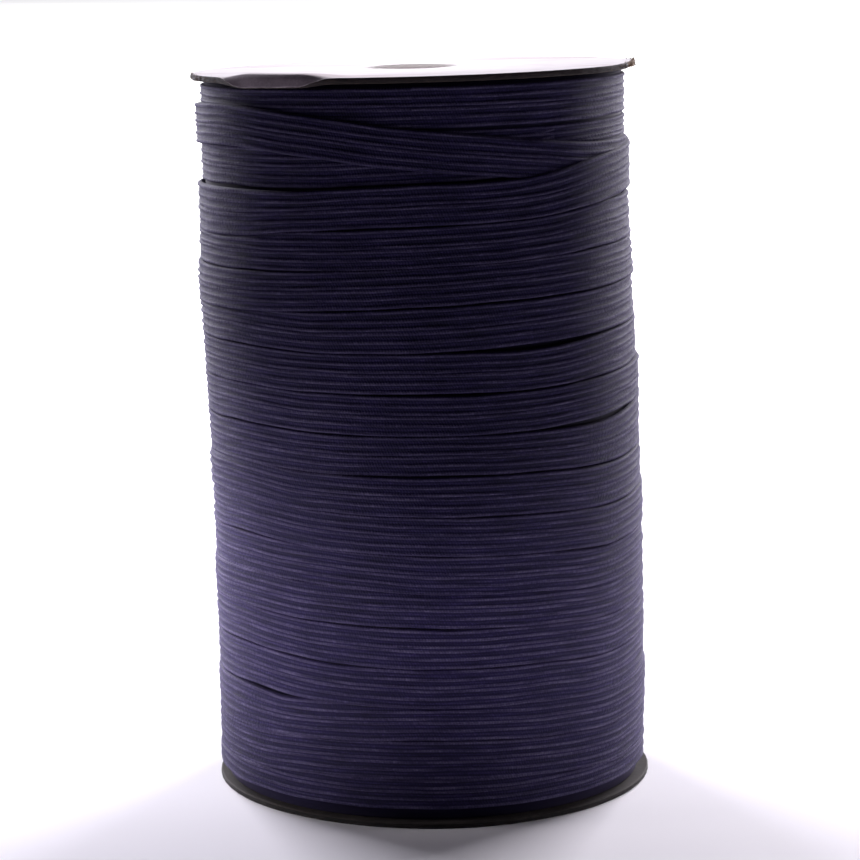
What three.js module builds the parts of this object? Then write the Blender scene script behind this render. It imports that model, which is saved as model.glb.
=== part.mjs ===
// A reel of flat ribbed elastic: two card flanges on a card tube, and the elastic wound on the tube.
// Millimetres, +Z up. The front of the reel faces -Y, and angles run from the front, plus to the right.
// The origin is the middle of the whole part's base. The reel stands on its bottom flange.
import * as THREE from "three";
import { mergeVertices } from "three/addons/utils/BufferGeometryUtils.js";

// Card flanges and tube
const REEL_HEIGHT = 146.2;
const FLANGE_RADIUS = 44.5;
const CARD = 1.2;
const BORE_RADIUS = 9.7;
const TUBE_WALL = 1.5;
const CLEARANCE = 0.3;
const TOP_SHIFT = -3.2; // the reel leans, so that its top flange sits left of its bottom one
const TOP_TILT = { right: 0.018, front: 0.0083 }; // rise of the top flange towards each side, per mm

// The front left of the top flange is bent down over the winding, with a low ridge above the bend that
// rises from its foot, and its right end is crushed
const LIP = { middle: -38, halfWidth: 25, bend: 78, start: 43.1, radius: 0.9, reach: 1.2 };
const LIP_RISE = { from: 0.05, full: 0.75 }; // how soon it is fully bent, from its ends to its middle
const RIDGE = { by: 0.8, foot: 26 };
const CRUSH = { middle: 84, halfWidth: 26, out: -0.2, lift: 0.3 };
const RIM_WAVE = { by: 0.18, top: { times: 5, turn: 40 }, bottom: { times: 4, turn: 70 } };
const WORN_EDGE = 0.25; // of the bottom flange

// The elastic
const TAPE = 0.9; // thickness
const SHOULDER = 0.55; // run of a tape's rounded edge
const TURN_GAP = 0.25; // between neighbouring turns
const GROOVE = 0.7; // depth of the gaps in the layer beneath
const WINDING_RADIUS = 44.2;
const UNEVEN = { by: 0.13, slow: 2.3, quick: 7.9, quickShare: 0.8 }; // how one turn stands out from the next
const TAPER = { from: 98, to: 122, by: 0.45 }; // the top turns are wound on fewer layers
const BULGE_OVER = { middle: 46, halfWidth: 52, by: 0.75 }; // the crossing turn bridges the one below it

const BOTTOM_ROOM = 0.4; // from the winding's floor to its lowest tape
const FLOOR_ROUNDING = 1.6;
const TOP_ROUNDING = [
  { down: 0, back: 2.4 },
  { down: 0.5, back: 0.8 },
  { down: 1.4, back: 0 },
];
const GAP_BENEATH = { width: 0.5, opensOver: 1.2 }; // in the layer beneath, near the top flange
const WINDOW_GAP = { high: 1.1, low: 0.4, opensFrom: 0.7, opensTo: 2.2 }; // the same, in the windows

// How far the winding has slumped to the left at each height
const SLUMP = [
  { z: 0, x: -0.3 },
  { z: 55, x: -0.85 },
  { z: 80, x: -1.66 },
  { z: 108, x: -3.0 },
  { z: 145, x: -3.2 },
];

// Angles of the columns of the tables of edges
const LEFT60 = -60;
const LEFT30 = -30;
const FRONT = 0;
const RIGHT30 = 30;
const RIGHT60 = 60;

// Heights of the lower edge of each turn of the top layer, from the flange down. The tape runs down to
// the left, round the back, and on at the right of the next row.
const LOWER_EDGE = [
  { left60: 132.4, left30: 131.2, front: 128.7, right30: 126.6, right60: 124.6 },
  { left60: 114.6, left30: 116.7, front: 118.1, right30: 118.9, right60: 121.1 },
  { left60: 108.5, left30: 109.1, front: 110.0, right30: 111.0, right60: 112.1 },
  { left60: 100.3, left30: 101.4, front: 102.7, right30: 103.5, right60: 104.1 },
  { left60: 93.9, left30: 93.5, front: 93.8, right30: 94.7, right60: 95.3 },
  { left60: 86.0, left30: 85.8, front: 86.0, right30: 85.9, right60: 86.8 },
  { left60: 78.2, left30: 78.0, front: 77.8, right30: 77.9, right60: 78.9 },
  { left60: 70.0, left30: 69.8, front: 70.0, right30: 69.7, right60: 69.1 },
  { left60: 63.2, left30: 62.4, front: 61.9, right30: 61.4, right60: 60.8 },
  { left60: 55.8, left30: 55.0, front: 54.2, right30: 53.6, right60: 52.8 },
  { left60: 47.9, left30: 47.6, front: 46.5, right30: 45.8, right60: 44.9 },
  { left60: 40.7, left30: 40.5, front: 39.9, right30: 39.2, right60: 38.4 },
  { left60: 33.3, left30: 32.4, front: 31.8, right30: 31.6, right60: 30.6 },
  { left60: 24.9, left30: 24.3, front: 23.9, right30: 23.8, right60: 22.9 },
  { left60: 15.4, left30: 16.7, front: 17.6, right30: 16.7, right60: 15.8 },
  { left60: 7.9, left30: 9.2, front: 9.7, right30: 8.9, right60: 8.0 },
];

// Upper edges of the two turns that cross the layer beneath, and the lower edge of that layer's first
// turn, beside the flange
const CROSSING_UPPER_EDGE = [
  { left60: 140.5, left30: 139.2, front: 136.4, right30: 133.6, right60: 132.4 },
  { left60: 124.2, left30: 124.6, front: 125.8, right30: 126.9, right60: 130.2 },
];
const TOP_TURN_LOWER_EDGE = { left: 136.0, right: 137.2 };

// Places where neighbouring turns stand apart: below which turn, at which angle, and how far
const WEDGES = [
  { below: 4, angle: 32, halfWidth: 34, by: 0.9 },
  { below: 5, angle: 14, halfWidth: 30, by: 0.3 },
  { below: 6, angle: 55, halfWidth: 30, by: 1.0 },
  { below: 9, angle: 48, halfWidth: 28, by: 0.4 },
  { below: 13, angle: -42, halfWidth: 26, by: 0.5 },
  { below: 14, angle: 18, halfWidth: 30, by: 0.35 },
];

const WINDING_COLUMNS = 60;
const FLANGE_COLUMNS = 72;
const RIDGE_RINGS = 3;
const BEND_STEPS = 7;
const TUBE_COLUMNS = 48;
const SNAP = 0.04; // rows nearer than this to the edge that covers them end at it

const windingFloor = CARD + CLEARANCE;
const lowestEdge = windingFloor + BOTTOM_ROOM;
const { clamp, degToRad, smoothstep } = THREE.MathUtils;

// Height of the top flange's underside, where it is flat
function undersideAt(angle, r) {
  const side = r * Math.sin(degToRad(angle));
  const front = r * Math.cos(degToRad(angle));
  return REEL_HEIGHT - CARD + TOP_TILT.right * side + TOP_TILT.front * front;
}

// 1 at the middle angle, falling smoothly to 0 at halfWidth degrees from it
function swell(angle, { middle, halfWidth }) {
  return 1 - smoothstep(Math.abs(angle - middle), 0, halfWidth);
}

// A smooth curve through rows of { at, value }, level beyond both ends
function curveThrough(rows) {
  const slope = rows.map((row, i) => {
    const before = rows[Math.max(i - 1, 0)];
    const after = rows[Math.min(i + 1, rows.length - 1)];
    return i > 0 && i < rows.length - 1 ? (after.value - before.value) / (after.at - before.at) : 0;
  });
  return (at) => {
    if (at <= rows[0].at) return rows[0].value;
    const i = rows.findIndex((row) => row.at >= at);
    if (i < 0) return rows.at(-1).value;
    const [a, b] = [rows[i - 1], rows[i]];
    const span = b.at - a.at;
    const t = (at - a.at) / span;
    const rise = t * t * (3 - 2 * t);
    const leave = t * (1 - t) * (1 - t) * slope[i - 1];
    const arrive = t * t * (t - 1) * slope[i];
    return a.value + (b.value - a.value) * rise + (leave + arrive) * span;
  };
}

// Along the tape, place counts turns from the middle of the first row's front: it grows to the left
const placeOf = (turn, angle) => turn - angle / 360;

function edgeRows(table) {
  return table.flatMap((row, turn) => [
    { at: placeOf(turn, RIGHT60), value: row.right60 },
    { at: placeOf(turn, RIGHT30), value: row.right30 },
    { at: placeOf(turn, FRONT), value: row.front },
    { at: placeOf(turn, LEFT30), value: row.left30 },
    { at: placeOf(turn, LEFT60), value: row.left60 },
  ]);
}

const firstBottomPlace = placeOf(LOWER_EDGE.length, RIGHT60);
const lowerEdge = curveThrough([...edgeRows(LOWER_EDGE), { at: firstBottomPlace, value: lowestEdge }]);

const wedges = WEDGES.map(({ below, angle, halfWidth, by }) => ({
  middle: placeOf(below + 1, angle),
  halfWidth: halfWidth / 360,
  by,
}));
const gapAt = (place) => wedges.reduce((gap, w) => gap + w.by * swell(place, w), TURN_GAP);
const belowPrevious = (place) => Math.max(lowerEdge(place - 1) - gapAt(place), lowestEdge);

const lastCrossing = placeOf(CROSSING_UPPER_EDGE.length, RIGHT60);
const crossingUpperEdge = curveThrough([
  ...edgeRows(CROSSING_UPPER_EDGE),
  { at: lastCrossing, value: belowPrevious(lastCrossing) },
]);
const upperEdge = (place) => (place < lastCrossing ? crossingUpperEdge(place) : belowPrevious(place));

const slump = curveThrough(SLUMP.map(({ z, x }) => ({ at: z, value: x })));
const tubeShift = (z) => (TOP_SHIFT * z) / REEL_HEIGHT;

// Radius of the top layer's face, and of the layer beneath it, which is also the bottom of every gap
const faceRadius = (z) => WINDING_RADIUS - TAPER.by * smoothstep(z, TAPER.from, TAPER.to);
const beneath = (z) => faceRadius(z) - TAPE;

function outerFace(place, z) {
  const wave = Math.sin(UNEVEN.slow * place + 1) + UNEVEN.quickShare * Math.sin(UNEVEN.quick * place);
  const over = swell(placeOf(1, 0) * 360 - place * 360, BULGE_OVER) * BULGE_OVER.by;
  return faceRadius(z) + UNEVEN.by * wave + over;
}

// One turn's outline, from its upper to its lower edge
function turnOutline(turn, angle) {
  const place = placeOf(turn, angle);
  const upper = upperEdge(place);
  const lower = Math.min(lowerEdge(place), upper);
  const run = Math.min(SHOULDER, (upper - lower) / 3);
  const face = (z) => beneath(z) + (outerFace(place, z) - beneath(z)) * Math.min(run / SHOULDER, 1);
  return [
    { z: upper, r: beneath(upper) },
    { z: upper - run, r: face(upper - run) },
    { z: lower + run, r: face(lower + run) },
    { z: lower, r: beneath(lower) },
  ];
}

// Radius of an outline at one height, or of the layer beneath where the outline doesn't reach
function radiusAt(outline, z) {
  const i = outline.findIndex((row) => row.z <= z);
  if (i <= 0) return beneath(z);
  const [a, b] = [outline[i - 1], outline[i]];
  const t = a.z > b.z ? (a.z - z) / (a.z - b.z) : 1;
  return a.r + (b.r - a.r) * t;
}

// Rows that something covers below a height end at that height
function coveredBelow(rows, cover) {
  return rows.map((row) => (row.z > cover.z + SNAP ? row : { ...cover }));
}

// The layer beneath, where it shows above the crossing turns: its first turn beside the flange, and a gap
function topOfLayerBeneath(angle, ceiling, cover) {
  const across = (1 + Math.sin(degToRad(angle))) / 2;
  const lower = TOP_TURN_LOWER_EDGE.left + (TOP_TURN_LOWER_EDGE.right - TOP_TURN_LOWER_EDGE.left) * across;
  const depth = GROOVE * smoothstep(lower - cover.z, 0, GAP_BENEATH.opensOver);
  const gapFloor = lower - GAP_BENEATH.width;
  const rows = [
    ...TOP_ROUNDING.map(({ down, back }) => ({ z: ceiling - down, r: beneath(ceiling) - back })),
    { z: lower + SHOULDER, r: beneath(lower) },
    { z: lower, r: beneath(lower) - depth },
    { z: gapFloor, r: beneath(lower) - depth },
    { z: gapFloor - SHOULDER, r: beneath(lower) },
  ];
  return coveredBelow(rows, cover);
}

// The layer beneath, where it shows between a crossing turn and the next one: its lower edge
function windowRows(above, below) {
  const open = above.z - below.z;
  const depth = GROOVE * smoothstep(open, WINDOW_GAP.opensFrom, WINDOW_GAP.opensTo);
  const [high, low] = [below.z + WINDOW_GAP.high, below.z + WINDOW_GAP.low];
  const rows = [
    { z: high, r: beneath(high) },
    { z: low, r: beneath(low) - depth },
  ];
  return rows.map((row) => (row.z < above.z - SNAP ? row : { ...above }));
}

// The whole outline of the winding at one angle, from the bore round the outside and back
function windingOutline(angle) {
  const ceiling = undersideAt(angle, FLANGE_RADIUS) - CLEARANCE;
  const second = turnOutline(1, angle);
  const first = turnOutline(0, angle);
  const foot = { z: second[0].z, r: radiusAt(first, second[0].z) };
  second[0] = foot;
  const cover = first[0].z > foot.z + SNAP ? first[0] : foot;
  const shownFirst = coveredBelow(first, foot);
  const third = turnOutline(2, angle);
  const rows = [
    ...topOfLayerBeneath(angle, ceiling, cover),
    ...shownFirst,
    ...windowRows(shownFirst.at(-1), foot),
    ...second,
    ...windowRows(second.at(-1), third[0]),
    ...third,
  ];
  for (let turn = 3; turn <= LOWER_EDGE.length + 1; turn++) rows.push(...turnOutline(turn, angle));
  rows.push({ z: windingFloor, r: beneath(0) - FLOOR_ROUNDING });
  const outside = rows.map(({ z, r }) => ({ z, r, x: slump(z) }));
  const bore = BORE_RADIUS + TUBE_WALL + CLEARANCE;
  const boreCeiling = undersideAt(angle, bore) - CLEARANCE;
  return [
    ...outside,
    { z: windingFloor, r: bore, x: tubeShift(windingFloor) },
    { z: boreCeiling, r: bore, x: tubeShift(boreCeiling) },
  ];
}

// A closed ring. outline(angle) gives the same number of { r, z, x } rows at every angle, and x is the
// shift of the ring's middle.
function ring(outline, columns) {
  const positions = [];
  const rowsOf = (i) => outline(-180 + (360 * i) / columns);
  const count = rowsOf(0).length;
  for (let i = 0; i <= columns; i++) {
    const angle = degToRad(-180 + (360 * i) / columns);
    for (const { r, z, x } of rowsOf(i)) positions.push(r * Math.sin(angle) + x, -r * Math.cos(angle), z);
  }
  const index = [];
  for (let i = 0; i < columns; i++) {
    for (let j = 0; j < count; j++) {
      const k = (j + 1) % count;
      const [a, b] = [i * count + j, i * count + k];
      index.push(a, b, a + count, a + count, b, b + count);
    }
  }
  const grid = new THREE.BufferGeometry();
  grid.setAttribute("position", new THREE.Float32BufferAttribute(positions, 3));
  grid.setIndex(index);
  const merged = mergeVertices(grid, 1e-3);
  merged.setIndex(withoutSlivers(Array.from(merged.index.array)));
  merged.computeVertexNormals();
  return merged;
}

// Triangles that merging has folded to a line are left out
function withoutSlivers(index) {
  const kept = [];
  for (let i = 0; i < index.length; i += 3) {
    const [a, b, c] = index.slice(i, i + 3);
    if (a !== b && b !== c && c !== a) kept.push(a, b, c);
  }
  return kept;
}

const rimWave = (angle, { times, turn }) => RIM_WAVE.by * Math.sin(degToRad(angle * times + turn));

// The top flange's card, from the hole outwards along the middle of its thickness, bent down by the lip
function topCardLine(angle) {
  const lip = smoothstep(swell(angle, LIP), LIP_RISE.from, LIP_RISE.full);
  const crush = swell(angle, CRUSH);
  const flatReach = FLANGE_RADIUS - LIP.start + rimWave(angle, RIM_WAVE.top) + CRUSH.out * crush;
  const reach = flatReach + LIP.reach * lip;
  const arc = LIP.radius * degToRad(LIP.bend);
  const ridgeAt = (r) => RIDGE.by * lip * smoothstep(r, RIDGE.foot, LIP.start);
  const rings = [BORE_RADIUS];
  for (let i = 0; i < RIDGE_RINGS; i++) rings.push(RIDGE.foot + ((LIP.start - RIDGE.foot) * i) / RIDGE_RINGS);
  const line = rings.map((r) => ({ r, z: ridgeAt(r), slope: 0 }));
  let [r, z] = [LIP.start, ridgeAt(LIP.start)];
  for (let i = 0; i <= BEND_STEPS; i++) {
    const share = i / BEND_STEPS;
    const slope = degToRad(LIP.bend) * lip * clamp((reach * share) / arc, 0, 1);
    if (i > 0) {
      r += (reach / BEND_STEPS) * Math.cos(slope);
      z -= (reach / BEND_STEPS) * Math.sin(slope);
    }
    line.push({ r, z: z + CRUSH.lift * crush * smoothstep(share, 0.2, 1), slope });
  }
  return line;
}

function topFlangeOutline(angle) {
  const half = CARD / 2;
  const line = topCardLine(angle);
  const side = (sign) => line.map(({ r, z, slope }) => ({
    r: r + sign * half * Math.sin(slope),
    z: z + sign * half * Math.cos(slope),
  }));
  return [...side(1), ...side(-1).reverse()].map(({ r, z }) => ({
    r,
    z: undersideAt(angle, r) + half + z,
    x: TOP_SHIFT,
  }));
}

function bottomFlangeOutline(angle) {
  const rim = FLANGE_RADIUS + rimWave(angle, RIM_WAVE.bottom);
  return [
    { r: BORE_RADIUS, z: CARD },
    { r: rim - WORN_EDGE, z: CARD },
    { r: rim, z: CARD - WORN_EDGE },
    { r: rim, z: WORN_EDGE },
    { r: rim - WORN_EDGE, z: 0 },
    { r: BORE_RADIUS, z: 0 },
  ].map((row) => ({ ...row, x: 0 }));
}

// The tube's ends follow the flanges
function tubeOutline(angle) {
  const low = CARD + CLEARANCE;
  const high = (r) => undersideAt(angle, r) - CLEARANCE;
  const outer = BORE_RADIUS + TUBE_WALL;
  return [
    { r: outer, z: high(outer) },
    { r: outer, z: low },
    { r: BORE_RADIUS, z: low },
    { r: BORE_RADIUS, z: high(BORE_RADIUS) },
  ].map((row) => ({ ...row, x: tubeShift(row.z) }));
}

const elastic = { color: 0x1c1a2c, roughness: 0.8, metalness: 0 };
const whiteCard = { color: 0xe6dfdc, roughness: 0.85, metalness: 0 };
const greyCard = { color: 0x8d7f74, roughness: 0.9, metalness: 0 };

const pieces = [
  { name: "flange_bottom", outline: bottomFlangeOutline, columns: FLANGE_COLUMNS, finish: greyCard },
  { name: "core", outline: tubeOutline, columns: TUBE_COLUMNS, finish: greyCard },
  { name: "winding", outline: windingOutline, columns: WINDING_COLUMNS, finish: elastic },
  { name: "flange_top", outline: topFlangeOutline, columns: FLANGE_COLUMNS, finish: whiteCard },
];

const reel = new THREE.Group();
for (const { name, outline, columns, finish } of pieces) {
  const piece = new THREE.Mesh(ring(outline, columns), new THREE.MeshStandardMaterial(finish));
  piece.name = name;
  reel.add(piece);
}

// The part's origin is the middle of its base
const middle = new THREE.Box3().setFromObject(reel).getCenter(new THREE.Vector3());
reel.position.set(-middle.x, -middle.y, 0);

const part = new THREE.Group();
part.add(reel);

export default part;
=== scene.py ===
import math

import bpy
import numpy as np
from mathutils import Matrix, Vector


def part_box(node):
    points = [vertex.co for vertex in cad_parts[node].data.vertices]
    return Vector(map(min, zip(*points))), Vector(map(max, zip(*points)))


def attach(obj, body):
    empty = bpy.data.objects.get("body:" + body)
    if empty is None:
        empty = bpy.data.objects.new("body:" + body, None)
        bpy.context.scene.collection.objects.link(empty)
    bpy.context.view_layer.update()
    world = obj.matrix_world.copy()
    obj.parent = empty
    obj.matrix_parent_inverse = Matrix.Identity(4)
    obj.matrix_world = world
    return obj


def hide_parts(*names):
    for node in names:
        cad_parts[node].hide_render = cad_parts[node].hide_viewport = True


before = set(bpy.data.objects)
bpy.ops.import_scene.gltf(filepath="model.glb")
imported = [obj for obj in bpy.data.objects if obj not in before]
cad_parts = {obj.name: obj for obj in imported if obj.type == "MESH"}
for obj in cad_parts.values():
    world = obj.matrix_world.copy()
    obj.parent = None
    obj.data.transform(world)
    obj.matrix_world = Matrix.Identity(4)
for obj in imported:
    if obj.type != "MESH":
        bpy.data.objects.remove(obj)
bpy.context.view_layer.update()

# The reel's own places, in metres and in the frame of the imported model. Angles are in degrees round the reel
# from its front, -Y, and are plus to the right.
MM = 0.001
bottom_low, bottom_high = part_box("flange_bottom")
BASE = (bottom_low + bottom_high) / 2
CARD = bottom_high.z - bottom_low.z
CLEARANCE = 0.3 * MM
FLANGE_RADIUS = 44.5 * MM
REEL_HEIGHT = 146.2 * MM
BORE_RADIUS = 9.7 * MM
TUBE_WALL = 1.5 * MM

# The top flange sits to the left, and rises by so much for each metre outwards
TOP_SHIFT = -3.2 * MM
TOP_TILT = {"right": 0.018, "front": 0.0083}

# The elastic tape as it is wound. The lowest turn stands clear of the bottom flange, over a dark recess.
TAPE = 0.9 * MM
TAPE_WIDTH = 7.9 * MM
TURN_GAP = 0.1 * MM
WINDING_RADIUS = 44.2 * MM
TURN_LENGTH = 2 * math.pi * WINDING_RADIUS
WINDING_FLOOR = CARD + CLEARANCE
LOWEST_EDGE = WINDING_FLOOR + 2.2 * MM

# How the winding's face leaves a true cylinder: it narrows towards the top, swells where its second turn lies
# over others, and has slow waves, each of a rate a turn, a phase and a share
TAPER = {"from": 98 * MM, "to": 122 * MM, "by": 0.45 * MM}
BULGE_OVER = {"middle": 46, "half_width": 52, "by": 0.75 * MM}
UNEVEN = {"by": 0.13 * MM, "waves": ((2.3, 1, 1.0), (7.9, 0, 0.8))}

# How far the winding has slumped to the left at each height, in mm
SLUMP = ((0, -0.3), (55, -0.85), (80, -1.66), (108, -3.0), (145, -3.2))

# Angles of the columns of the tables of edges: the tape runs down to the left, round the back, and on at the
# right of the next row. Heights in mm.
EDGE_ANGLES = (60, 30, 0, -30, -60)
LOWER_EDGE = (
    (124.6, 126.6, 128.7, 131.2, 132.4),
    (121.1, 118.9, 118.1, 116.7, 114.6),
    (112.1, 111.0, 110.0, 109.1, 108.5),
    (104.1, 103.5, 102.7, 101.4, 100.3),
    (95.3, 94.7, 93.8, 93.5, 93.9),
    (86.8, 85.9, 86.0, 85.8, 86.0),
    (78.9, 77.9, 77.8, 78.0, 78.2),
    (69.1, 69.7, 70.0, 69.8, 70.0),
    (60.8, 61.4, 61.9, 62.4, 63.2),
    (52.8, 53.6, 54.2, 55.0, 55.8),
    (44.9, 45.8, 46.5, 47.6, 47.9),
    (38.4, 39.2, 39.9, 40.5, 40.7),
    (30.6, 31.6, 31.8, 32.4, 33.3),
    (22.9, 23.8, 23.9, 24.3, 24.9),
    (15.8, 16.7, 17.6, 16.7, 15.4),
    (8.0, 8.9, 9.7, 9.2, 7.9),
)
CROSSING_UPPER_EDGE = (
    (132.4, 133.6, 136.4, 139.2, 140.5),
    (130.2, 126.9, 125.8, 124.6, 124.2),
)

# Places where neighbouring turns stand apart: below which turn, at which angle, over what half width, and by
# how many mm
WEDGES = ((4, 32, 34, 0.9), (5, 14, 30, 0.3), (6, 55, 30, 1.0), (9, 48, 28, 0.4), (13, -42, 26, 0.5),
          (14, 18, 30, 0.35))


# Shared curves
def smooth(x, low, high):
    """0 below low, 1 above high, and a smooth step between them."""
    t = np.clip((np.asarray(x, float) - low) / (high - low), 0, 1)
    return t * t * (3 - 2 * t)


def swell(angle, middle, half_width):
    """1 at the middle angle, falling smoothly to 0 at half_width degrees from it."""
    return 1 - smooth(np.abs(np.asarray(angle, float) - middle), 0, half_width)


class Through:
    """A smooth curve through (at, value) points, level beyond both ends."""

    def __init__(self, points):
        self.at, self.value = np.array(sorted(points), float).T
        inner = (self.value[2:] - self.value[:-2]) / (self.at[2:] - self.at[:-2])
        self.slope = np.concatenate([[0], inner, [0]])

    def __call__(self, at):
        at = np.clip(np.asarray(at, float), self.at[0], self.at[-1])
        i = np.clip(np.searchsorted(self.at, at) - 1, 0, len(self.at) - 2)
        span = self.at[i + 1] - self.at[i]
        t = (at - self.at[i]) / span
        rise = t * t * (3 - 2 * t) * (self.value[i + 1] - self.value[i])
        leave = t * (1 - t) ** 2 * self.slope[i]
        arrive = t * t * (t - 1) * self.slope[i + 1]
        return self.value[i] + rise + (leave + arrive) * span


def place_of(turn, angle):
    """Turns along the tape from the front of the first row: it grows to the left."""
    return turn - angle / 360


def edge_points(table):
    return [(place_of(turn, angle), z * MM)
            for turn, row in enumerate(table) for angle, z in zip(EDGE_ANGLES, row)]


def end_of(table):
    """Where a table of edges ends, along the tape."""
    return place_of(len(table), EDGE_ANGLES[0])


lower_edge = Through([*edge_points(LOWER_EDGE), (end_of(LOWER_EDGE), LOWEST_EDGE)])


def gap_at(place):
    """The gap between the tape at a place and the turn above it."""
    gap = TURN_GAP
    for below, angle, half_width, by in WEDGES:
        gap = gap + by * MM * swell(place, place_of(below + 1, angle), half_width / 360)
    return gap


def below_previous(place):
    """The tape's upper edge where it lies close under the turn above."""
    return np.maximum(lower_edge(np.asarray(place) - 1) - gap_at(place), LOWEST_EDGE)


last_crossing = end_of(CROSSING_UPPER_EDGE)
crossing_upper_edge = Through([*edge_points(CROSSING_UPPER_EDGE),
                               (last_crossing, float(below_previous(last_crossing)))])


def upper_edge(place):
    return np.where(np.asarray(place) < last_crossing, crossing_upper_edge(place), below_previous(place))


slump_mm = Through(SLUMP)


def slump(z):
    return slump_mm(np.asarray(z) / MM) * MM


def face_radius(z):
    return WINDING_RADIUS - TAPER["by"] * smooth(z, TAPER["from"], TAPER["to"])


def beneath(z):
    return face_radius(z) - TAPE


def outer_face(place, z):
    wave = sum(share * np.sin(rate * place + phase) for rate, phase, share in UNEVEN["waves"])
    over = BULGE_OVER["by"] * swell((1 - place) * 360, BULGE_OVER["middle"], BULGE_OVER["half_width"])
    return face_radius(z) + UNEVEN["by"] * wave + over


def underside_at(angle, radius):
    """Height of the top flange's underside, where it is flat."""
    a = np.radians(angle)
    tilt = TOP_TILT["right"] * np.sin(a) + TOP_TILT["front"] * np.cos(a)
    return REEL_HEIGHT - CARD + radius * tilt


def wander(place, rows, periods, seed):
    """Irregular waves of about -1 to 1 along the tape, one for each number in rows. Periods in metres."""
    rows = np.asarray(rows)
    phase = np.random.default_rng(seed).uniform(0, 2 * math.pi, (rows.max() + 1, len(periods)))[rows]
    per_turn = 2 * math.pi * TURN_LENGTH / np.array(periods)
    return np.sin(place[None, :, None] * per_turn + phase[:, None, :]).sum(-1) / math.sqrt(len(periods))


def on_reel(angle, radius, z, shift):
    """Points at angles round an axis that is shifted along X."""
    a = np.radians(angle)
    return np.stack([BASE.x + shift + radius * np.sin(a), BASE.y - radius * np.cos(a), z + 0 * a], -1)


# Mesh building
def put(name, data):
    """A new object in the scene for a mesh, light or camera."""
    thing = bpy.data.objects.new(name, data)
    bpy.context.scene.collection.objects.link(thing)
    return thing


def grid_mesh(name, points, uv=None, close_rows=False, close_columns=False, flip=False):
    """A mesh of quads over points[row, column], with uv[row, column] in metres. Columns go round or along."""
    rows, columns = points.shape[:2]
    r = np.arange(rows if close_rows else rows - 1)
    c = np.arange(columns if close_columns else columns - 1)
    r, c = np.meshgrid(r, c, indexing="ij")
    corners = [(r, c), (r, c + 1), (r + 1, c + 1), (r + 1, c)]
    if flip:
        corners.reverse()
    index = np.stack([(i % rows) * columns + (j % columns) for i, j in corners], -1).reshape(-1)
    mesh = bpy.data.meshes.new(name)
    mesh.vertices.add(rows * columns)
    mesh.vertices.foreach_set("co", points.astype(np.float32).ravel())
    mesh.loops.add(len(index))
    mesh.loops.foreach_set("vertex_index", index.astype(np.int32))
    mesh.polygons.add(len(index) // 4)
    mesh.polygons.foreach_set("loop_start", np.arange(0, len(index), 4, dtype=np.int32))
    mesh.polygons.foreach_set("loop_total", np.full(len(index) // 4, 4, np.int32))
    mesh.update(calc_edges=True)
    mesh.validate()
    if uv is not None:
        wide = np.concatenate([uv, uv[:, :1]], 1) if close_columns else uv
        across = np.stack([wide[i % rows, np.minimum(j, wide.shape[1] - 1)] for i, j in corners], -2)
        layer = mesh.uv_layers.new(name="lie")
        layer.data.foreach_set("uv", across.reshape(-1).astype(np.float32))
    mesh.polygons.foreach_set("use_smooth", np.ones(len(mesh.polygons), bool))
    return put(name, mesh)


def mark(piece, name, values):
    """A number at each point of a piece, which its material reads by name."""
    layer = piece.data.attributes.new(name, "FLOAT", "POINT")
    layer.data.foreach_set("value", values.astype(np.float32).ravel())


def add_piece(piece, material, replaces=()):
    piece.data.materials.append(material)
    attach(piece, "root")
    for node in replaces:
        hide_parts(node)


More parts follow.
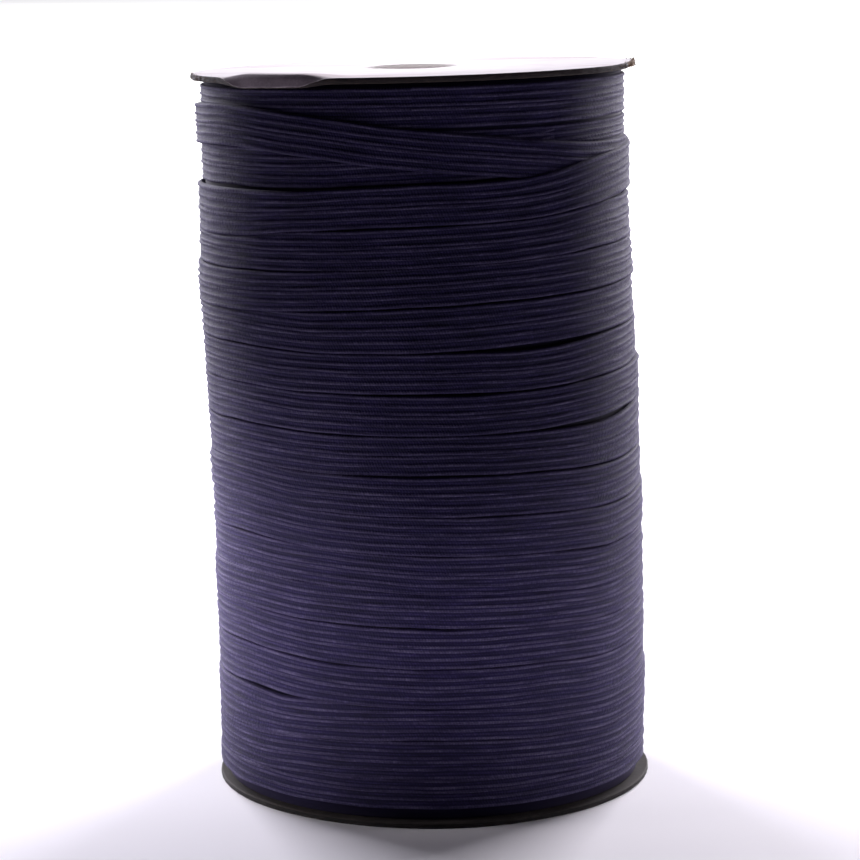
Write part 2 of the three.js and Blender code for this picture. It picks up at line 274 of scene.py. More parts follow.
# Materials
class Look:
    """A material in the making. Its methods add nodes, and give back their outputs."""

    def __init__(self, name):
        self.material = bpy.data.materials.new(name)
        self.material.use_nodes = True
        self.nodes = self.material.node_tree.nodes
        self.links = self.material.node_tree.links
        self.shader = self.nodes["Principled BSDF"]

    def feed(self, node, inputs):
        """Give a node's inputs numbers, colours or the outputs of other nodes."""
        for name, value in inputs.items():
            if isinstance(value, bpy.types.NodeSocket):
                self.links.new(value, node.inputs[name])
            else:
                node.inputs[name].default_value = value

    def place(self):
        """Where a point is, in metres."""
        return self.nodes.new("ShaderNodeTexCoord").outputs["Object"]

    def lie(self):
        """Where a point is along and across its piece, in metres."""
        node = self.nodes.new("ShaderNodeUVMap")
        node.uv_map = "lie"
        return node.outputs["UV"]

    def attribute(self, name):
        node = self.nodes.new("ShaderNodeAttribute")
        node.attribute_name = name
        return node.outputs["Fac"]

    def noise(self, vector, scale=1.0, detail=3.0, roughness=0.55):
        node = self.nodes.new("ShaderNodeTexNoise")
        self.feed(node, {"Vector": vector, "Scale": scale, "Detail": detail, "Roughness": roughness})
        return node.outputs["Fac"]

    def scaled(self, vector, scale):
        node = self.nodes.new("ShaderNodeMapping")
        self.feed(node, {"Vector": vector, "Scale": scale})
        return node.outputs["Vector"]

    def part_of(self, vector, axis):
        node = self.nodes.new("ShaderNodeSeparateXYZ")
        self.feed(node, {"Vector": vector})
        return node.outputs[axis]

    def calculate(self, operation, a, b=0.0):
        node = self.nodes.new("ShaderNodeMath")
        node.operation = operation
        self.feed(node, {0: a, 1: b})
        return node.outputs[0]

    def weighted(self, *parts):
        """The sum of (output, weight) pairs."""
        total = None
        for output, weight in parts:
            part = self.calculate("MULTIPLY", output, weight)
            total = part if total is None else self.calculate("ADD", total, part)
        return total

    def map_range(self, value, to=(0.0, 1.0), over=(0.0, 1.0)):
        """Goes from to[0] to to[1] while the value crosses its range over, and is level beyond it."""
        node = self.nodes.new("ShaderNodeMapRange")
        self.feed(node, {"Value": value, "From Min": over[0], "From Max": over[1],
                         "To Min": to[0], "To Max": to[1]})
        return node.outputs["Result"]

    def ramp(self, factor, stops):
        """Colours by factor: stops are (position, (r, g, b))."""
        node = self.nodes.new("ShaderNodeValToRGB")
        elements = node.color_ramp.elements
        while len(elements) < len(stops):
            elements.new(0.5)
        for element, (position, colour) in zip(elements, stops):
            element.position = position
            element.color = (*colour, 1)
        self.feed(node, {"Fac": factor})
        return node.outputs["Color"]

    def mix(self, factor, a, b, blend="MIX"):
        node = self.nodes.new("ShaderNodeMix")
        node.data_type = "RGBA"
        node.blend_type = blend
        self.feed(node, {"Factor": factor, "A": a, "B": b})
        return node.outputs["Result"]

    def bump(self, height, distance, strength):
        node = self.nodes.new("ShaderNodeBump")
        self.feed(node, {"Height": height, "Distance": distance, "Strength": strength})
        self.feed(self.shader, {"Normal": node.outputs["Normal"]})

    def finished(self, colour, roughness, specular):
        self.feed(self.shader, {"Base Color": colour, "Roughness": roughness})
        self.shader.inputs["Specular IOR Level"].default_value = specular
        return self.material


# The elastic: pitches of its loops and ribs, and noise scales a metre along and across the tape
LOOP_PITCH = 0.58 * MM
RIB_PITCH = 0.77 * MM
DASHES = (115, 1300, 1)
YARNS = (150, 5200, 1)
LINT = (1100, 2700, 1)
FILAMENTS = (1500, 9000, 1)
PATCHES = 24
LOOP_WANDER = 9.0

# Its colours from groove to crest, the navy yarn's own colour with painted shade darkening the grooves, and
# how streaks, lint and loops darken or lighten them
CREST_COLOURS_WITH_GROOVE_SHADE = [(0.0, (0.0032, 0.0014, 0.0200)), (0.3, (0.0110, 0.0074, 0.0430)),
                 (0.7, (0.0280, 0.0220, 0.0640)), (1.0, (0.0395, 0.0320, 0.0800))]
STREAK_SHADES = [(0.37, (0.36, 0.32, 0.50)), (0.5, (1.0, 1.0, 1.0)), (0.63, (1.85, 1.95, 1.55))]
LINT_SHADES = [(0.52, (0.94, 0.94, 0.95)), (0.7, (1.5, 1.48, 1.4))]
LOOP_SHADES = [(0.0, (0.84, 0.84, 0.85)), (1.0, (1.12, 1.12, 1.11))]
SHEEN_TINT = (0.72, 0.62, 1.0, 1)


def elastic_material():
    """Navy knitted elastic: grooves darkened by painted shade, greyer ribs, streaks of the yarn, rows of
    loops, and some lint.
    """
    look = Look("ribbed_elastic")
    lie = look.lie()
    dashes = look.noise(look.scaled(lie, DASHES), detail=2.0)
    yarns = look.noise(look.scaled(lie, YARNS), detail=2.0)
    patches = look.noise(look.place(), PATCHES, detail=2.0)
    lint = look.noise(look.scaled(lie, LINT), detail=1.0)
    filaments = look.noise(look.scaled(lie, FILAMENTS), detail=3.0, roughness=0.6)
    streaks = look.weighted((dashes, 0.42), (yarns, 0.33), (patches, 0.25))
    # Rows of dots along the tape, set half a loop apart from rib to rib
    turned = look.weighted((look.part_of(lie, "X"), 2 * math.pi / LOOP_PITCH),
                           (look.part_of(lie, "Y"), math.pi / RIB_PITCH), (dashes, LOOP_WANDER))
    loops = look.map_range(look.calculate("SINE", turned), over=(-1.0, 1.0))
    # Painted shade: the crest mark's lowest values, in the grooves and dents, get the darkest colours
    colour = look.ramp(look.attribute("crest"), CREST_COLOURS_WITH_GROOVE_SHADE)
    for factor, shades in ((streaks, STREAK_SHADES), (lint, LINT_SHADES), (loops, LOOP_SHADES)):
        colour = look.mix(1.0, colour, look.ramp(factor, shades), "MULTIPLY")
    look.bump(look.weighted((filaments, 0.35), (loops, 0.35), (lint, 0.9)),
              distance=0.16 * MM, strength=0.85)
    look.shader.inputs["Sheen Weight"].default_value = 0.06
    look.shader.inputs["Sheen Roughness"].default_value = 0.45
    look.shader.inputs["Sheen Tint"].default_value = SHEEN_TINT
    return look.finished(colour, look.map_range(streaks, to=(0.6, 0.84)), specular=0.17)


# Paper and board: noise scales a metre, and colours
FIBRE_STRETCH = (1, 3.5, 3.5)
SMUDGES = (26, 70, 26)
CARD_PLIES = (420, 6200, 1)
BOARD_PLIES = (160, 160, 4200)
CARD_WHITE = [(0.35, (0.76, 0.72, 0.72)), (0.6, (0.86, 0.83, 0.83))]
CARD_SMUDGE = (0.55, 0.42, 0.43, 1)
# Painted shade on the bent-down lip, which faces away from the lamps
CARD_BEND_SHADE = [(0.3, (0.13, 0.10, 0.12)), (0.7, (0.30, 0.245, 0.28))]
# The near-black cut colour is partly the board's own cut edge and partly painted shade; it covers the edge and
# the underside
CARD_CUT_AND_SHADE = [(0.35, (0.010, 0.007, 0.008)), (0.55, (0.026, 0.018, 0.019)), (0.75, (0.070, 0.048, 0.038))]
CARD_TORN = [(0.35, (0.05, 0.03, 0.02)), (0.5, (0.22, 0.14, 0.08)), (0.7, (0.5, 0.37, 0.23))]
FIBRE_BROWNS = [(0.3, (0.045, 0.026, 0.016)), (0.5, (0.16, 0.095, 0.05)), (0.7, (0.42, 0.30, 0.17))]
# The bottom board's face and cut colours are its own grey board darkened to near black with painted shade
BOARD_WITH_SHADE = [(0.35, (0.016, 0.013, 0.012)), (0.65, (0.050, 0.042, 0.038))]
BOARD_CUT_WITH_SHADE = [(0.35, (0.003, 0.0025, 0.0025)), (0.55, (0.012, 0.010, 0.0095)), (0.75, (0.045, 0.038, 0.035))]
TUBE_PAPER = [(0.35, (0.76, 0.70, 0.69)), (0.65, (0.86, 0.81, 0.80))]


def paper(look, place, stops, scale):
    """Colour, mottle and fibres of a paper face."""
    mottle = look.noise(place, scale, detail=6.0, roughness=0.65)
    fibres = look.noise(look.scaled(place, FIBRE_STRETCH), 6 * scale, detail=4.0, roughness=0.7)
    return look.ramp(look.weighted((mottle, 0.6), (fibres, 0.4)), stops), mottle, fibres


def top_card_material():
    """White paper-faced board with grey-brown painted shade on its downturned bend, a cut edge in plies
    darkened partly by painted shade, and a torn end.
    """
    look = Look("white_card")
    place = look.place()
    colour, mottle, fibres = paper(look, place, CARD_WHITE, scale=60)
    smudge = look.map_range(look.noise(look.scaled(place, SMUDGES)), to=(0.0, 0.75), over=(0.5, 0.75))
    colour = look.mix(smudge, colour, CARD_SMUDGE)
    bend_shade = paper(look, place, CARD_BEND_SHADE, scale=140)[0]
    plies = look.noise(look.scaled(look.lie(), CARD_PLIES), roughness=0.7)
    # Each comes in where its mark is, with a border that the fibres fray
    for name, worn, fraying, border in (("bend_shade", bend_shade, 0.5, (0.55, 0.85)),
                                        ("cut", look.ramp(plies, CARD_CUT_AND_SHADE), 0.4, (0.6, 0.8)),
                                        ("torn", look.ramp(plies, CARD_TORN), 0.7, (0.8, 1.1))):
        frayed = look.weighted((look.attribute(name), 1.0), (fibres, fraying))
        colour = look.mix(look.map_range(frayed, over=border), colour, worn)
    look.bump(look.weighted((fibres, 0.6), (plies, 0.4)), distance=0.09 * MM, strength=0.6)
    return look.finished(colour, look.map_range(mottle, to=(0.7, 0.9)), specular=0.3)


def grey_card_material(name, stops, cut_stops):
    """Board or rolled paper. Where it faces sideways its plies show as fine level lines."""
    look = Look(name)
    place = look.place()
    face, mottle, fibres = paper(look, place, stops, scale=90)
    plies = look.noise(look.scaled(place, BOARD_PLIES), roughness=0.7)
    normal = look.nodes.new("ShaderNodeNewGeometry").outputs["Normal"]
    upright = look.calculate("ABSOLUTE", look.part_of(normal, "Z"))
    sideways = look.map_range(upright, to=(1.0, 0.0), over=(0.3, 0.8))
    colour = look.mix(sideways, face, look.ramp(plies, cut_stops))
    look.bump(look.weighted((fibres, 0.5), (plies, 0.5)), distance=0.1 * MM, strength=0.7)
    return look.finished(colour, look.map_range(mottle, to=(0.78, 0.95)), specular=0.3)


def torn_paper_material():
    """The brown core of the board, where it is torn."""
    look = Look("torn_paper")
    colour, mottle, fibres = paper(look, look.place(), FIBRE_BROWNS, scale=700)
    look.bump(fibres, distance=0.04 * MM, strength=0.5)
    return look.finished(colour, look.map_range(mottle, to=(0.75, 0.95)), specular=0.25)


# The wound tape
# Its ribs, by distance from the tape's upper edge and height, in mm: six strong ones, which have flat crests,
# with weak ones between them. The other measures of the section are in mm too.
RIBS = ((0.50, 0.32), (1.30, 0.14), (2.06, 0.32), (2.80, 0.10), (3.47, 0.31), (4.30, 0.32), (5.03, 0.13),
        (5.82, 0.31), (6.60, 0.15), (7.42, 0.32))
STRONG_RIB = 0.32
STRONG_FROM = 0.2
CREST_HALF_WIDTH = 0.19
EDGE_RUN = 0.12
EDGE_CREST = 0.2

# The height of its grooves over the tape's back, and of its edges as a share of its thickness
GROUND = TAPE - 0.28 * MM
EDGE_RISE = 0.12

# Stitches dent the crests, and the dents are darkened by a share of their colour as painted shade
STITCHES_PER_TURN = 201
SEGMENTS_PER_TURN = 3 * STITCHES_PER_TURN
STITCH_DEPTH = 0.16 * MM
STITCH_DENT_SHADE = 0.25

# Slow waves along the tape, with periods in metres: of each rib's place and height, of the edges, of the lean
# of the whole width and of its distance from the axis
RIB_SWAY = {"by": 0.055 * MM, "periods": (0.019, 0.037, 0.071), "seed": 3}
RIB_SWELL = {"by": 0.27, "periods": (0.011, 0.023, 0.058), "seed": 5}
EDGE_SWAY = {"by": 0.05 * MM, "periods": (0.016, 0.033, 0.083), "seed": 11}
LEAN = {"by": 0.11 * MM, "periods": (0.13, 0.31), "seed": 17}
RIPPLE = {"by": 0.05 * MM, "periods": (0.026, 0.061, 0.17), "seed": 23}

# Heights past its visible edge between which the tape tucks in under the turn above
TUCK = (-0.1 * MM, 0.9 * MM)

# The outer layer, in turns along the tape: where its runs part, and where its two ends stop and dive in. The
# tail's are counted back from a turn past the last row.
RUN_PARTINGS = (4.5, 8.5, 12.5)
HEAD = {"angle": 118, "dive": (0.17, 0.3)}
TAIL = {"short": 0.24, "dive": (0.8, 0.4)}
DIVE_DEPTH = 0.95 * TAPE

# The layer beneath: its first turn, under the top flange, its second, and its third, between the crossings
TOP_TURN_LOWER_EDGE = {"left": 136.0 * MM, "right": 137.2 * MM}
TOP_TURN_GAP = 0.55 * MM
SECOND_TURN = {"gap": 0.45 * MM, "width": 6.6 * MM, "from": 200, "to": -14}
THIRD_TURN = {"gap": 0.4 * MM, "angle": 40}
BENEATH_UNEVEN = {"by": 0.02 * MM, "rate": 5}

# What lies under the turns
BODY = {"columns": 120, "rows": 40, "sunk": 0.72 * MM, "top_gap": 0.1 * MM}


def waves(place, rows, kind):
    return kind["by"] * wander(place, rows, kind["periods"], kind["seed"])


def tape_section():
    """Rows across the tape: distance from the upper edge, height over the tape's back, how much each is a
    crest, and which rib it is beside. Distances in metres."""
    ground = GROUND / MM
    width = TAPE_WIDTH / MM
    edge = EDGE_RISE * TAPE / MM
    last = len(RIBS) - 1
    rows = [(0.0, edge, 0.0, 0), (EDGE_RUN, ground, EDGE_CREST, 0)]
    for k, (middle, height) in enumerate(RIBS):
        sides = (-CREST_HALF_WIDTH, CREST_HALF_WIDTH) if height > STRONG_FROM else (0.0,)
        rows += [(middle + side, ground + height, height / STRONG_RIB, k) for side in sides]
        if k < last:
            rows.append(((middle + RIBS[k + 1][0]) / 2, ground, 0.0, k))
    rows += [(width - EDGE_RUN, ground, EDGE_CREST, last), (width, edge, 0.0, last)]
    across, height, crest, rib = np.array(rows).T
    return across * MM, height * MM, crest, rib.astype(int)


def tape(name, start, end, lower, visible_upper, radius, tuck=True):
    """A run of tape from place start to end. Its ribs keep their pitch from its lower edge. Where it is wider
    than what shows, its upper part is tucked under the turn above; where it is narrower, it is stretched."""
    across, height, crest, rib = tape_section()
    first, last = round(start * SEGMENTS_PER_TURN), round(end * SEGMENTS_PER_TURN)
    place = np.arange(first, last + 1) / SEGMENTS_PER_TURN
    bottom = lower(place) + waves(place, [0], EDGE_SWAY)[0]
    shown = visible_upper(place) - bottom
    width = np.maximum(shown, TAPE_WIDTH) if tuck else shown
    inside = ((across > 0) & (across < TAPE_WIDTH))[:, None]
    share = (across[:, None] + inside * waves(place, rib, RIB_SWAY)) / TAPE_WIDTH
    z = bottom + (1 - share) * width
    tucked = TAPE * smooth(z - visible_upper(place), *TUCK) if tuck else 0.0
    stitch = 0.5 + 0.5 * np.cos(2 * math.pi * (place[None] * STITCHES_PER_TURN + 0.5 * rib[:, None]))
    swelling = 1 + waves(place, rib, RIB_SWELL)
    raised = (height[:, None] - GROUND) * np.where(crest[:, None] > 0, swelling, 1.0)
    sunk = STITCH_DEPTH * (1 - stitch) * crest[:, None]
    tilt = waves(place, [0], LEAN) * (1 - 2 * share)
    r = radius(place[None] + 0 * z, z) - TAPE - tucked + GROUND + raised - sunk + tilt
    r = r + waves(place, [0], RIPPLE)
    points = on_reel(-360 * place[None] + 0 * z, r, z, slump(z))
    uv = np.stack([TURN_LENGTH * place[None] + 0 * z, share * TAPE_WIDTH], -1)
    piece = grid_mesh(name, points, uv, flip=True)
    shows = 1 - STITCH_DENT_SHADE + STITCH_DENT_SHADE * stitch
    # The crest mark carries painted shade: darker into the grooves, the stitch dents and on lower ribs
    mark(piece, "crest", np.clip(crest[:, None] * swelling * shows, 0, 1))
    return piece


def wind_top_layer(material):
    turns = len(LOWER_EDGE) + 1
    ends = (place_of(0, HEAD["angle"]), *RUN_PARTINGS, turns - TAIL["short"])

    def radius(place, z):
        tail_dive = smooth(place, turns - TAIL["dive"][0], turns - TAIL["dive"][1])
        return outer_face(place, z) - DIVE_DEPTH * (tail_dive + smooth(-place, *HEAD["dive"]))

    for i, (start, end) in enumerate(zip(ends, ends[1:])):
        piece = tape(f"tape_run_{i + 1}", start, end, lower_edge, upper_edge, radius)
        add_piece(piece, material, ["winding"])


def wind_layer_beneath(material):
    """The turns of the layer beneath that show by the top flange and between the crossing turns."""
    def first_lower(place):
        across = (1 + np.sin(np.radians(-360 * place))) / 2
        left, right = TOP_TURN_LOWER_EDGE["left"], TOP_TURN_LOWER_EDGE["right"]
        return left + (right - left) * across

    def first_upper(place):
        return underside_at(-360 * place, FLANGE_RADIUS) - CLEARANCE - TOP_TURN_GAP

    def second_upper(place):
        return first_lower(place) - SECOND_TURN["gap"]

    def second_lower(place):
        return second_upper(place) - SECOND_TURN["width"]

    def third_lower(place):
        return upper_edge(place) + THIRD_TURN["gap"]

    def third_upper(place):
        return third_lower(place) + TAPE_WIDTH

    def radius(place, z):
        return beneath(z) + BENEATH_UNEVEN["by"] * np.sin(BENEATH_UNEVEN["rate"] * place)

    second = (place_of(1, SECOND_TURN["from"]), place_of(1, SECOND_TURN["to"]))
    third = (place_of(1, THIRD_TURN["angle"]), place_of(2, THIRD_TURN["angle"]))
    for name, ends, lower, upper in (("tape_beneath_first", (0.0, 1.0), first_lower, first_upper),
                                     ("tape_beneath_second", second, second_lower, second_upper),
                                     ("tape_beneath_third", third, third_lower, third_upper)):
        add_piece(tape(name, *ends, lower, upper, radius, tuck=False), material)


def wind_body(material):
    """What lies under the turns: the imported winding, with its flat ends and its bore."""
    angle = np.linspace(-180, 180, BODY["columns"], endpoint=False)
    inner = BORE_RADIUS + TUBE_WALL + CLEARANCE
    top = underside_at(angle, FLANGE_RADIUS) - CLEARANCE - BODY["top_gap"]
    rows = [on_reel(angle, inner, WINDING_FLOOR + 0 * angle, 0.0)]
    for share in np.linspace(0, 1, BODY["rows"]):
        z = WINDING_FLOOR + (top - WINDING_FLOOR) * share
        rows.append(on_reel(angle, beneath(z) - BODY["sunk"], z, slump(z)))
    bore_top = underside_at(angle, inner) - CLEARANCE - BODY["top_gap"]
    rows.append(on_reel(angle, inner, bore_top, TOP_SHIFT * bore_top / REEL_HEIGHT))
    piece = grid_mesh("winding_body", np.stack(rows), close_rows=True, close_columns=True)
    add_piece(piece, material)


# The top flange
FLANGE_COLUMNS = 720
FACE_RINGS = (9.85, 10.3, 13, 17, 21, 26, 30, 34, 37.5, 40.3, 42.1)
BEND_STEPS = 14
EDGE_ROWS = 5

# Its front left edge is bent down into a lip, with a low ridge inside it. Its right end is crushed and torn,
# and its rim waves. The face has shallow dents.
LIP = {"middle": -38, "half_width": 25, "bend": 78, "start": 43.1 * MM, "radius": 0.9 * MM, "reach": 1.2 * MM,
       "from": 0.05, "full": 0.75}
RIDGE = {"by": 0.8 * MM, "foot": 26 * MM}
CRUSH = {"middle": 84, "half_width": 26, "out": -0.2 * MM, "lift": 0.3 * MM, "from": 0.2}
TORN = {"middle": 84, "half_width": 22, "inwards": 0.9 * MM}
RIM_WAVE = {"by": 0.18 * MM, "times": 5, "turn": 40}
DENTS = {"by": 0.07 * MM, "length_mm": 5, "phase": 2, "times": 3, "turn": 50}

# How ragged the rim is all round, and more so by middle angle and half width. Fine and coarse are shares.
RAG = {"even": 0.05 * MM, "more": ((86, 24, 0.25 * MM), (-80, 24, 0.22 * MM)), "fine": 0.45, "coarse": 0.9,
       "coarse_points": 181}

# The cut edge bulges, with a fringe that grows with the rag. Shade is painted on the card where it bends down,
# between these degrees of slope, and the rim takes a share of this painted shade and of the dark cut colour.
EDGE_BULGE = {"by": 0.12 * MM, "fringe": 0.05 * MM, "of_rag": 0.4}
BEND_SHADE_SLOPE = (6, 42)
RIM_SHARE = {"bend_shade": 0.8, "cut": 0.5}


def ragged_rim(angle):
    """How far the rim stands out or is torn back, by angle."""
    draw = np.random.default_rng(29)
    fine = draw.uniform(-1, 1, angle.shape)
    points = RAG["coarse_points"]
    coarse = np.interp(angle, np.linspace(-180, 180, points), draw.uniform(-1, 1, points))
    most = sum((by * swell(angle, middle, half_width) for middle, half_width, by in RAG["more"]), RAG["even"])
    return most * (RAG["fine"] * fine + RAG["coarse"] * coarse)


def top_card_line(angle):
    """The middle of the top flange's thickness from the hole outwards: rows of radius, height and slope."""
    lip = smooth(swell(angle, LIP["middle"], LIP["half_width"]), LIP["from"], LIP["full"])
    crush = swell(angle, CRUSH["middle"], CRUSH["half_width"])
    wave = RIM_WAVE["by"] * np.sin(np.radians(angle * RIM_WAVE["times"] + RIM_WAVE["turn"]))
    reach = (FLANGE_RADIUS - LIP["start"] + wave + CRUSH["out"] * crush + LIP["reach"] * lip
             + ragged_rim(angle))
    face = np.array(FACE_RINGS)[:, None] * MM + 0 * angle
    dents = (DENTS["by"] * np.sin(face / MM / DENTS["length_mm"] + DENTS["phase"])
             * np.sin(np.radians(DENTS["times"] * angle + DENTS["turn"])))
    share = np.linspace(0, 1, BEND_STEPS + 1)[:, None]
    bend = math.radians(LIP["bend"])
    slope = bend * lip * np.clip(reach * share / (LIP["radius"] * bend), 0, 1)
    step = reach / BEND_STEPS
    start = LIP["start"] + 0 * angle[None]
    radius = np.concatenate([face, start, start + np.cumsum(step * np.cos(slope[1:]), 0)])
    ridge = RIDGE["by"] * lip * smooth(radius, RIDGE["foot"], LIP["start"])
    fall = np.concatenate([0 * face, 0 * start, np.cumsum(step * np.sin(slope[1:]), 0)])
    lift = CRUSH["lift"] * crush * np.concatenate([0 * face, smooth(share, CRUSH["from"], 1) + 0 * angle])
    height = ridge + np.concatenate([dents, 0 * slope]) - fall + lift
    return radius, height, np.concatenate([0 * face, slope])


def top_flange(material):
    angle = np.linspace(-180, 180, FLANGE_COLUMNS, endpoint=False)
    radius, height, slope = top_card_line(angle)
    half = CARD / 2

    def side(sign):
        return radius + sign * half * np.sin(slope), height + sign * half * np.cos(slope)

    upper, lower = side(1), side(-1)
    fringe = np.random.default_rng(31).uniform(-1, 1, (EDGE_ROWS, FLANGE_COLUMNS))
    across = np.linspace(0, 1, EDGE_ROWS + 2)[1:-1, None]
    ragged = EDGE_BULGE["fringe"] + EDGE_BULGE["of_rag"] * np.abs(ragged_rim(angle))
    bulge = EDGE_BULGE["by"] * np.sin(math.pi * across) + ragged * fringe
    edge_radius = upper[0][-1] * (1 - across) + lower[0][-1] * across + bulge * np.cos(slope[-1])
    edge_height = upper[1][-1] * (1 - across) + lower[1][-1] * across - bulge * np.sin(slope[-1])
    r = np.concatenate([upper[0], edge_radius, lower[0][::-1]])
    z = np.concatenate([upper[1], edge_height, lower[1][::-1]])
    points = on_reel(angle + 0 * r, r, underside_at(angle, r) + half + z, TOP_SHIFT)
    travel = np.concatenate([[0], np.cumsum(np.hypot(np.diff(r, axis=0), np.diff(z, axis=0)).mean(1))])
    uv = np.stack([np.radians(angle) * FLANGE_RADIUS + 0 * r, travel[:, None] + 0 * r], -1)
    piece = grid_mesh("top_card", points, uv, close_rows=True, close_columns=True)

    # The rows of the upper side come first, then those of the edge, the underside and the hole
    rows = len(radius)
    bent = smooth(np.degrees(slope), *BEND_SHADE_SLOPE)
    # Painted shade where the card bends down into the lip, with a share of it on the rim
    bend_shade = np.zeros(r.shape)
    bend_shade[:rows] = bent
    bend_shade[rows - 1] *= RIM_SHARE["bend_shade"]
    mark(piece, "bend_shade", bend_shade)
    # The cut mark gives the edge and the underside the near-black cut colour, partly the board's own and
    # partly painted shade
    cut = np.ones(r.shape)
    cut[:rows] = 0
    cut[-1] = 0
    cut[rows - 1] = RIM_SHARE["cut"] * (1 - bent[-2])
    mark(piece, "cut", cut)
    torn = 0 * r + swell(angle, TORN["middle"], TORN["half_width"])
    torn[:rows] *= smooth(radius, FLANGE_RADIUS - TORN["inwards"], FLANGE_RADIUS)
    mark(piece, "torn", torn)
    add_piece(piece, material, ["flange_top"])


# Torn fibres of the top flange's rim: middle angle, spread, how many and their longest, in degrees and mm
FRAYS = ((82, 8, 190, 1.6), (96, 4, 90, 2.1), (-84, 9, 130, 1.4), (-66, 6, 60, 1.0))
FRAY_ROOT = 0.25 * MM

# What each fibre draws: ranges of its place down the edge, its way outwards, its length as a share of the
# longest, its thickness and its width over that, and middles and spreads of the rest
FIBRE = {"down": (0.05, 0.95), "outwards": (0.3, 1), "aside": (0, 0.7), "upwards": (0.05, 0.3),
         "lean": (0, 0.5), "length": (0.3, 1), "thick": (0.025 * MM, 0.07 * MM), "wide": (1, 2.2),
         "curl": (0.1, 0.35)}
FLAP = {"angle": 92, "down": 0.2, "upwards": 0.25, "length": 1.7 * MM, "wide": 0.6 * MM, "thick": 0.1 * MM,
        "curl": 0.35}
STRAND_STEPS = 5
STRAND_TAPER = {"wide": 0.8, "thick": 0.6}


def strand_box(base, ahead, rise, length, half_width, half_thick, curl):
    """Corner rings of one tapering strand that leaves base in the direction ahead and curls towards rise."""
    across = ahead.cross(rise).normalized()
    rings = []
    for i in range(STRAND_STEPS):
        t = i / (STRAND_STEPS - 1)
        centre = base + ahead * (length * t) + rise * (curl * length * t * t)
        wide = across * (half_width * (1 - STRAND_TAPER["wide"] * t))
        high = rise * (half_thick * (1 - STRAND_TAPER["thick"] * t))
        rings.append([centre + wide, centre + high, centre - wide, centre - high])
    return rings


def strands_mesh(name, strands):
    points, faces = [], []
    for rings in strands:
        first = len(points)
        points += [tuple(corner) for ring in rings for corner in ring]
        faces.append([first + k for k in (3, 2, 1, 0)])
        for i in range(len(rings) - 1):
            at = first + 4 * i
            faces += [[at + k, at + (k + 1) % 4, at + (k + 1) % 4 + 4, at + k + 4] for k in range(4)]
        faces.append([len(points) - 4 + k for k in range(4)])
    mesh = bpy.data.meshes.new(name)
    mesh.from_pydata(points, [], faces)
    mesh.update()
    return put(name, mesh)


def rim_place(angle, down):
    """A point just inside the top flange's cut edge, and the direction outwards there."""
    a = np.array([angle])
    radius, height, _ = top_card_line(a)
    r = radius[-1, 0] - FRAY_ROOT
    z = underside_at(angle, r) + CARD * (1 - down) + height[-1, 0]
    place = on_reel(a, np.array([r]), np.array([z]), TOP_SHIFT)[0]
    turn = math.radians(angle)
    return Vector(place), Vector((math.sin(turn), -math.cos(turn), 0))


def frayed_fibres(material):
    """Fibres along the top flange's rim at both sides, and one torn flap where it is crushed."""
    draw = np.random.default_rng(37)
    up = Vector((-TOP_TILT["right"], 0, 1)).normalized()
    strands = []
    for middle, spread, count, longest in FRAYS:
        for _ in range(count):
            base, out = rim_place(draw.normal(middle, spread), draw.uniform(*FIBRE["down"]))
            along = Vector((-out.y, out.x, 0))
            ahead = (out * draw.uniform(*FIBRE["outwards"]) + along * draw.normal(*FIBRE["aside"])
                     + up * draw.normal(*FIBRE["upwards"]))
            rise = (up + along * draw.normal(*FIBRE["lean"])).normalized()
            length = longest * MM * draw.uniform(*FIBRE["length"])
            thick = draw.uniform(*FIBRE["thick"])
            wide = thick * draw.uniform(*FIBRE["wide"])
            curl = draw.normal(*FIBRE["curl"])
            strands.append(strand_box(base, ahead.normalized(), rise, length, wide, thick, curl))
    base, out = rim_place(FLAP["angle"], FLAP["down"])
    ahead = (out + up * FLAP["upwards"]).normalized()
    strands.append(strand_box(base, ahead, up, FLAP["length"], FLAP["wide"], FLAP["thick"], FLAP["curl"]))
    add_piece(strands_mesh("frayed_fibres", strands), material)


# Camera, at the photograph's view: its place in flange radii from the reel's base, and its turns in radians
CAMERA = {"distance": 14.0, "height": 4.0, "pitch": 0.1691, "roll": -0.0097, "yaw": -0.0005}
FOCAL_PIXELS = 3066
FRAME_PIXELS = 860
SENSOR = 36.0
CLIP_START = 0.01


def make_camera():
    pitch, roll, yaw = CAMERA["pitch"], CAMERA["roll"], CAMERA["yaw"]
    ahead = Vector((math.sin(yaw) * math.cos(pitch), math.cos(yaw) * math.cos(pitch), -math.sin(pitch)))
    level = Vector((math.cos(yaw), -math.sin(yaw), 0))
    upright = level.cross(ahead)
    right = math.cos(roll) * level + math.sin(roll) * upright
    up = -math.sin(roll) * level + math.cos(roll) * upright
    camera = put("camera", bpy.data.cameras.new("camera"))
    turn = Matrix((right, up, -ahead)).transposed().to_4x4()
    place = BASE.xy.to_3d() + Vector((0, -CAMERA["distance"], CAMERA["height"])) * FLANGE_RADIUS
    camera.matrix_world = Matrix.Translation(place) @ turn
    camera.data.sensor_width = SENSOR
    camera.data.lens = FOCAL_PIXELS / FRAME_PIXELS * SENSOR
    camera.data.clip_start = CLIP_START
    bpy.context.scene.camera = camera


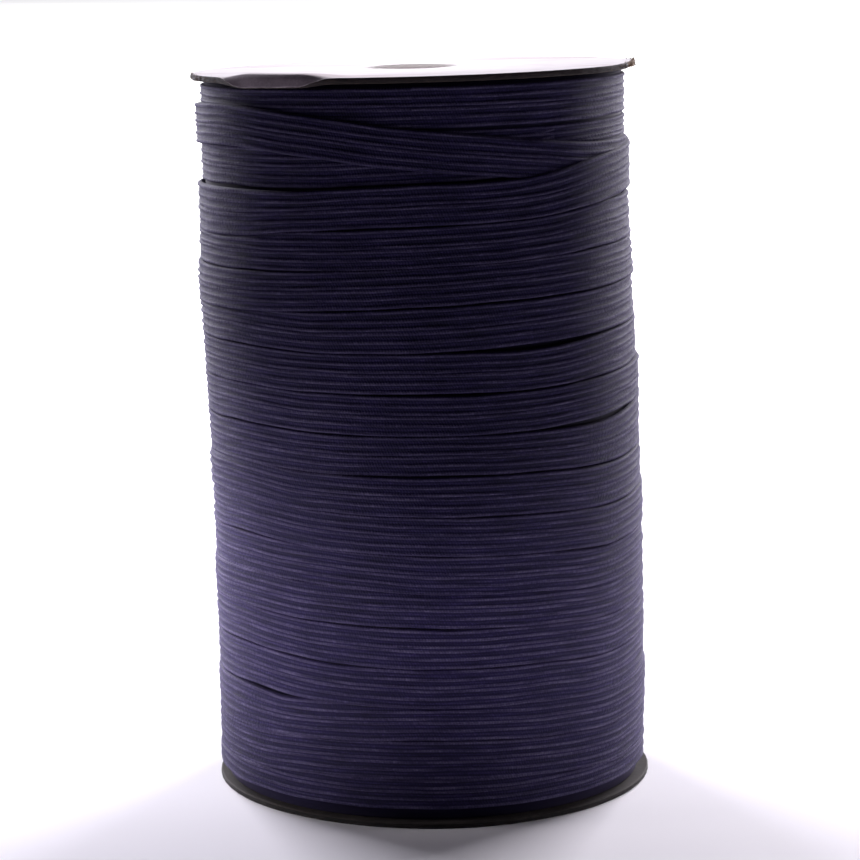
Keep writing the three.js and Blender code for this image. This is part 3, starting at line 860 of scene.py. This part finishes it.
# Lights: name, place, what each points at, width and height, watts, colour, and spread in degrees. Big soft
# ones stand at both sides and behind. The front gets only narrow ones, on the bore and the floor, and low,
# dim cards.
WORLD = {"colour": (0.82, 0.74, 1, 1), "strength": 0.036}
WHITE = (1, 1, 1)
PINK = (1, 0.95, 1)
LIGHTS = (
    ("left_softbox", (-0.58, 0.85, 0.42), (0, 0, 0.05), (0.6, 0.6), 21.5, (0.93, 0.90, 1), 180),
    ("right_softbox", (0.58, 0.85, 0.42), (0, 0, 0.05), (0.6, 0.6), 22, (0.96, 0.92, 1), 180),
    ("backdrop_light", (0, 2.1, 2.0), (0, 3.95, 0), (5.0, 2.0), 440, WHITE, 180),
    ("bore_light", (-0.02, -0.10, 0.34), (0, 0.014, 0.135), (0.02, 0.02), 0.0045, WHITE, 24),
    ("floor_light", (0, -0.12, 0.12), (0, -0.10, 0), (0.16, 0.01), 0.005, WHITE, 40),
    ("low_front_card", (-0.04, -0.13, 0.040), (0, 0, 0.038), (0.2, 0.014), 0.0092, PINK, 40),
    ("low_left_card", (-0.16, -0.035, 0.045), (-0.03, 0, 0.036), (0.07, 0.05), 0.034, PINK, 54),
    ("low_right_card", (0.16, -0.02, 0.045), (0.03, 0, 0.032), (0.06, 0.05), 0.016, PINK, 54),
)


def area_light(name, place, target, size, power, colour, spread):
    light = bpy.data.lights.new(name, "AREA")
    light.shape = "RECTANGLE"
    light.size, light.size_y = size
    light.energy = power
    light.color = colour
    light.spread = math.radians(spread)
    holder = put(name, light)
    holder.location = place
    holder.rotation_mode = "QUATERNION"
    holder.rotation_quaternion = (Vector(target) - Vector(place)).to_track_quat("-Z", "Y")
    holder.visible_camera = False


def light_studio():
    world = bpy.data.worlds.new("studio")
    bpy.context.scene.world = world
    world.use_nodes = True
    background = world.node_tree.nodes["Background"]
    background.inputs["Color"].default_value = WORLD["colour"]
    background.inputs["Strength"].default_value = WORLD["strength"]
    for light in LIGHTS:
        area_light(*light)
    bpy.context.scene.view_settings.view_transform = "Standard"


FLOOR_REACH = 12.0
FLOOR_TONES = [(0.3, (0.93, 0.92, 0.94)), (0.7, (0.97, 0.96, 0.98))]


def make_floor():
    look = Look("paper_floor")
    tone = look.ramp(look.noise(look.place(), scale=9.0), FLOOR_TONES)
    material = look.finished(tone, roughness=0.6, specular=0.5)
    mesh = bpy.data.meshes.new("floor")
    corners = [(x * FLOOR_REACH, y * FLOOR_REACH, 0) for x, y in ((-1, -1), (1, -1), (1, 1), (-1, 1))]
    mesh.from_pydata(corners, [], [(0, 1, 2, 3)])
    mesh.materials.append(material)
    floor = put("floor", mesh)


make_camera()
light_studio()
make_floor()
elastic = elastic_material()
wind_top_layer(elastic)
wind_layer_beneath(elastic)
wind_body(elastic)
top_flange(top_card_material())
frayed_fibres(torn_paper_material())
# The bottom flange's board is darkened with painted shade; the core's tube paper is its own colour
for node, material in (("flange_bottom", grey_card_material("grey_board_with_shade", BOARD_WITH_SHADE, BOARD_CUT_WITH_SHADE)),
                       ("core", grey_card_material("tube_paper", TUBE_PAPER, TUBE_PAPER))):
    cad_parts[node].data.materials.clear()
    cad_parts[node].data.materials.append(material)
